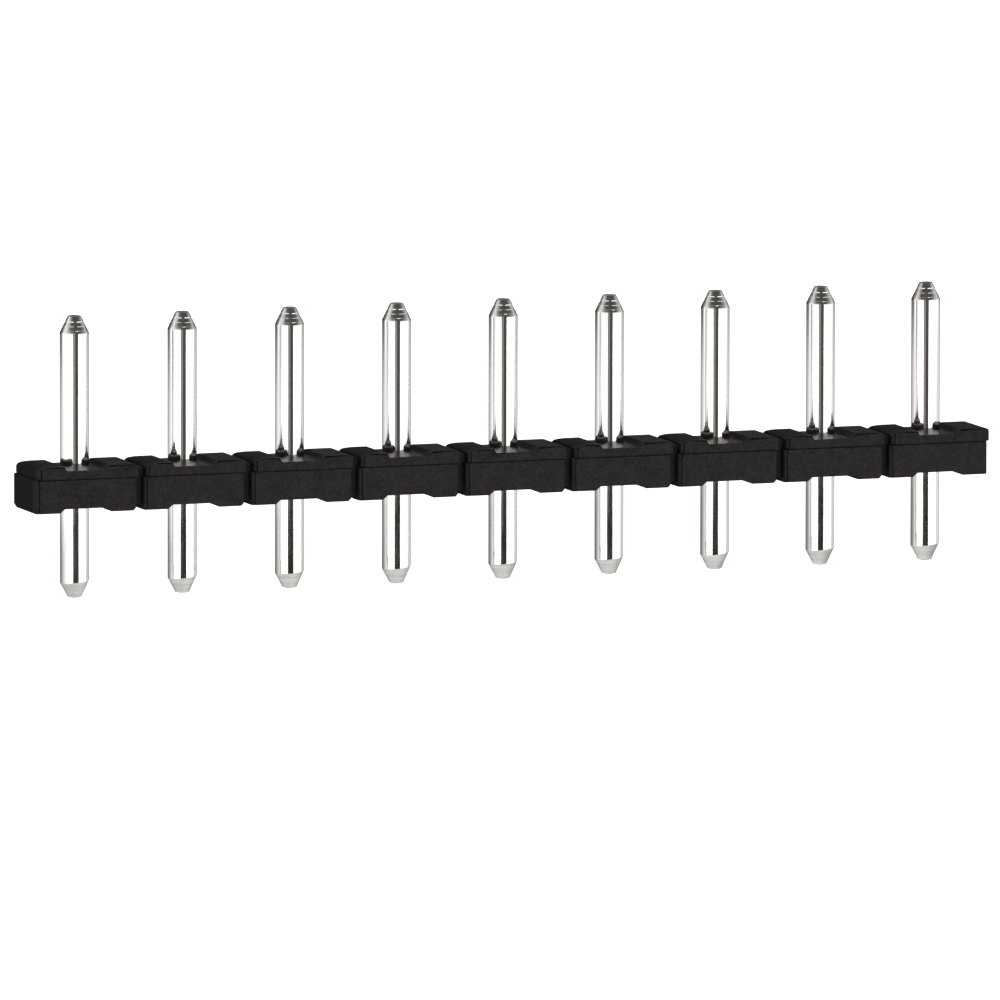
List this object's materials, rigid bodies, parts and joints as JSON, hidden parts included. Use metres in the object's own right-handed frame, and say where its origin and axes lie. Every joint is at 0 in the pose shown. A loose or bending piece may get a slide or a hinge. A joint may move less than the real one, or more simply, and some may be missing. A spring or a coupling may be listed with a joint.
{
  "type": "pluggable terminal block pin strip",
  "caption": "Straight pin strip for pluggable terminal blocks: round pins, tapered at both ends, through a low black housing of joined blocks.",
  "frame": {"origin": "on the axis of the middle pin, in the plane of the feet, where the housing sits on the circuit board", "axes": "+X along the row of pins, +Z along the pins to the contact ends, -Y out of the front"},
  "size_m": [0.0448, 0.0032, 0.0125],
  "materials": {
    "housing_plastic": "moulded black, faintly mottled satin",
    "pin_metal": "bright tin plating, with turned cones"
  },
  "bodies": {
    "root": {"housing": "housing_plastic", "pin_1": "pin_metal", "pin_2": "pin_metal", "pin_3": "pin_metal", "pin_4": "pin_metal", "pin_5": "pin_metal", "pin_6": "pin_metal", "pin_7": "pin_metal", "pin_8": "pin_metal", "pin_9": "pin_metal"}
  },
  "joints": []
}
